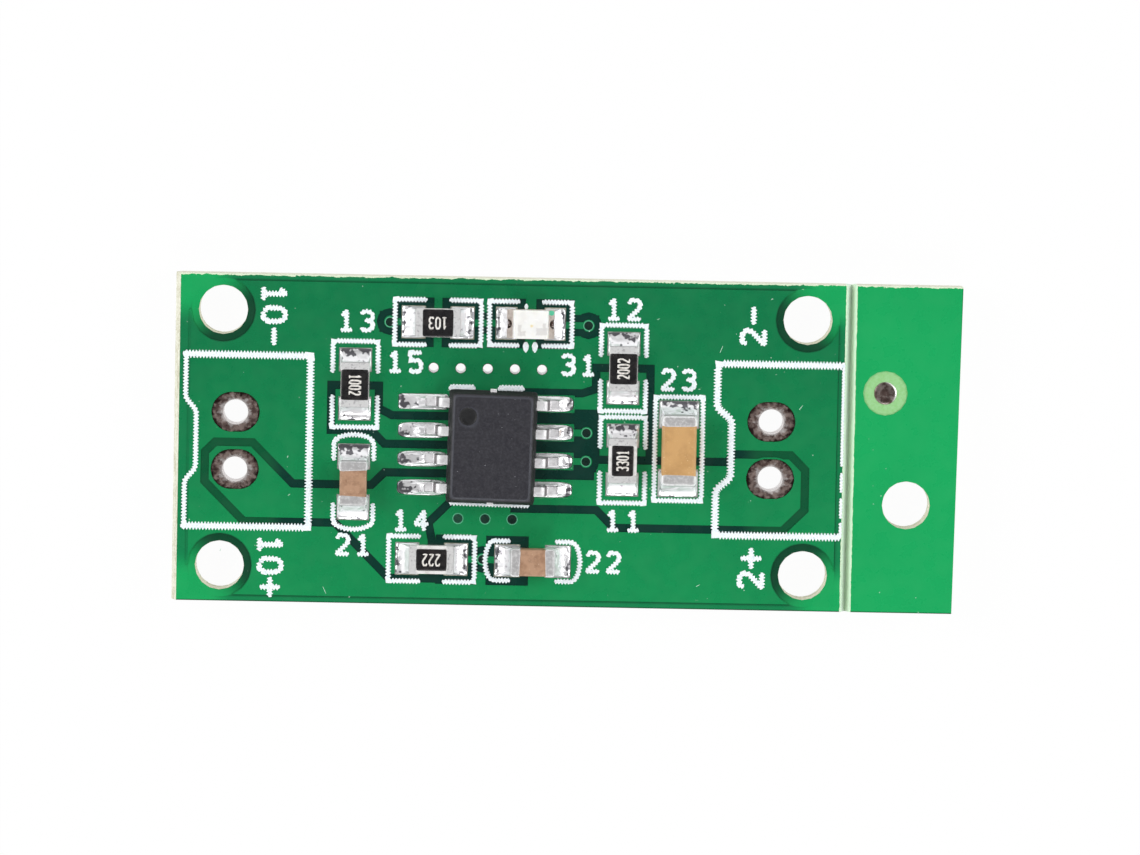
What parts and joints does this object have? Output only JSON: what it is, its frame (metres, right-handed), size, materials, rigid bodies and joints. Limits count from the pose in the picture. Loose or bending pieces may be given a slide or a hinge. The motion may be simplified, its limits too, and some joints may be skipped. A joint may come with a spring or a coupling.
{
  "type": "nimh charger module",
  "caption": "Flat green circuit board that charges nickel metal hydride cells, with a small chip, resistors, capacitors, an indicator and plated wire holes, on a scored break-off rail.",
  "frame": {"origin": "middle of the underside of the board with its rail", "axes": "+X along the board towards the rail and the battery holes, +Z out of the component side"},
  "size_m": [0.0348, 0.0146, 0.0031],
  "materials": {
    "laminate": "woven glass and resin, cut edges",
    "copper": "bare foil",
    "solder_mask": "smooth, glossy",
    "legend_ink": "printed, slightly raised",
    "tin_plating": "dull tin, slightly stained",
    "moulding_compound": "fine-grained, matt",
    "lead_metal": "satin tin",
    "solder": "bright, smooth",
    "end_cap_tin": "matt tin",
    "resistor_ceramic": "white alumina",
    "resistor_coat": "dark glaze",
    "capacitor_brown": "fired ceramic",
    "capacitor_tan": "fired ceramic",
    "led_base": "pale resin board",
    "led_die": "crystal",
    "led_lens": "milky resin",
    "led_mark": "green ink"
  },
  "bodies": {
    "root": {"board_laminate": "laminate", "top_copper": "copper", "bottom_copper": "copper", "top_solder_mask": "solder_mask", "bottom_solder_mask": "solder_mask", "legend_ink": "legend_ink", "input_hole_negative": "tin_plating", "input_hole_positive": "tin_plating", "battery_hole_negative": "tin_plating", "battery_hole_positive": "tin_plating", "heat_vias": "tin_plating", "signal_vias": "copper", "fiducial_dot": "tin_plating", "chip_body": "moulding_compound", "chip_tie_bar": "lead_metal", "chip_solder": "solder", "led_base": "led_base", "led_end_caps": "lead_metal", "led_die": "led_die", "led_lens": "led_lens", "led_polarity_mark": "led_mark", "led_solder": "solder", "chip_lead_1": "lead_metal", "chip_lead_2": "lead_metal", "chip_lead_3": "lead_metal", "chip_lead_4": "lead_metal", "chip_lead_5": "lead_metal", "chip_lead_6": "lead_metal", "chip_lead_7": "lead_metal", "chip_lead_8": "lead_metal", "resistor_1_substrate": "resistor_ceramic", "resistor_1_end_caps": "end_cap_tin", "resistor_1_overcoat": "resistor_coat", "resistor_1_solder": "solder", "resistor_2_substrate": "resistor_ceramic", "resistor_2_end_caps": "end_cap_tin", "resistor_2_overcoat": "resistor_coat", "resistor_2_solder": "solder", "resistor_3_substrate": "resistor_ceramic", "resistor_3_end_caps": "end_cap_tin", "resistor_3_overcoat": "resistor_coat", "resistor_3_solder": "solder", "resistor_4_substrate": "resistor_ceramic", "resistor_4_end_caps": "end_cap_tin", "resistor_4_overcoat": "resistor_coat", "resistor_4_solder": "solder", "resistor_5_substrate": "resistor_ceramic", "resistor_5_end_caps": "end_cap_tin", "resistor_5_overcoat": "resistor_coat", "resistor_5_solder": "solder", "capacitor_1_ceramic": "capacitor_brown", "capacitor_1_end_caps": "end_cap_tin", "capacitor_1_solder": "solder", "capacitor_2_ceramic": "capacitor_brown", "capacitor_2_end_caps": "end_cap_tin", "capacitor_2_solder": "solder", "capacitor_3_ceramic": "capacitor_tan", "capacitor_3_end_caps": "end_cap_tin", "capacitor_3_solder": "solder"}
  },
  "joints": []
}
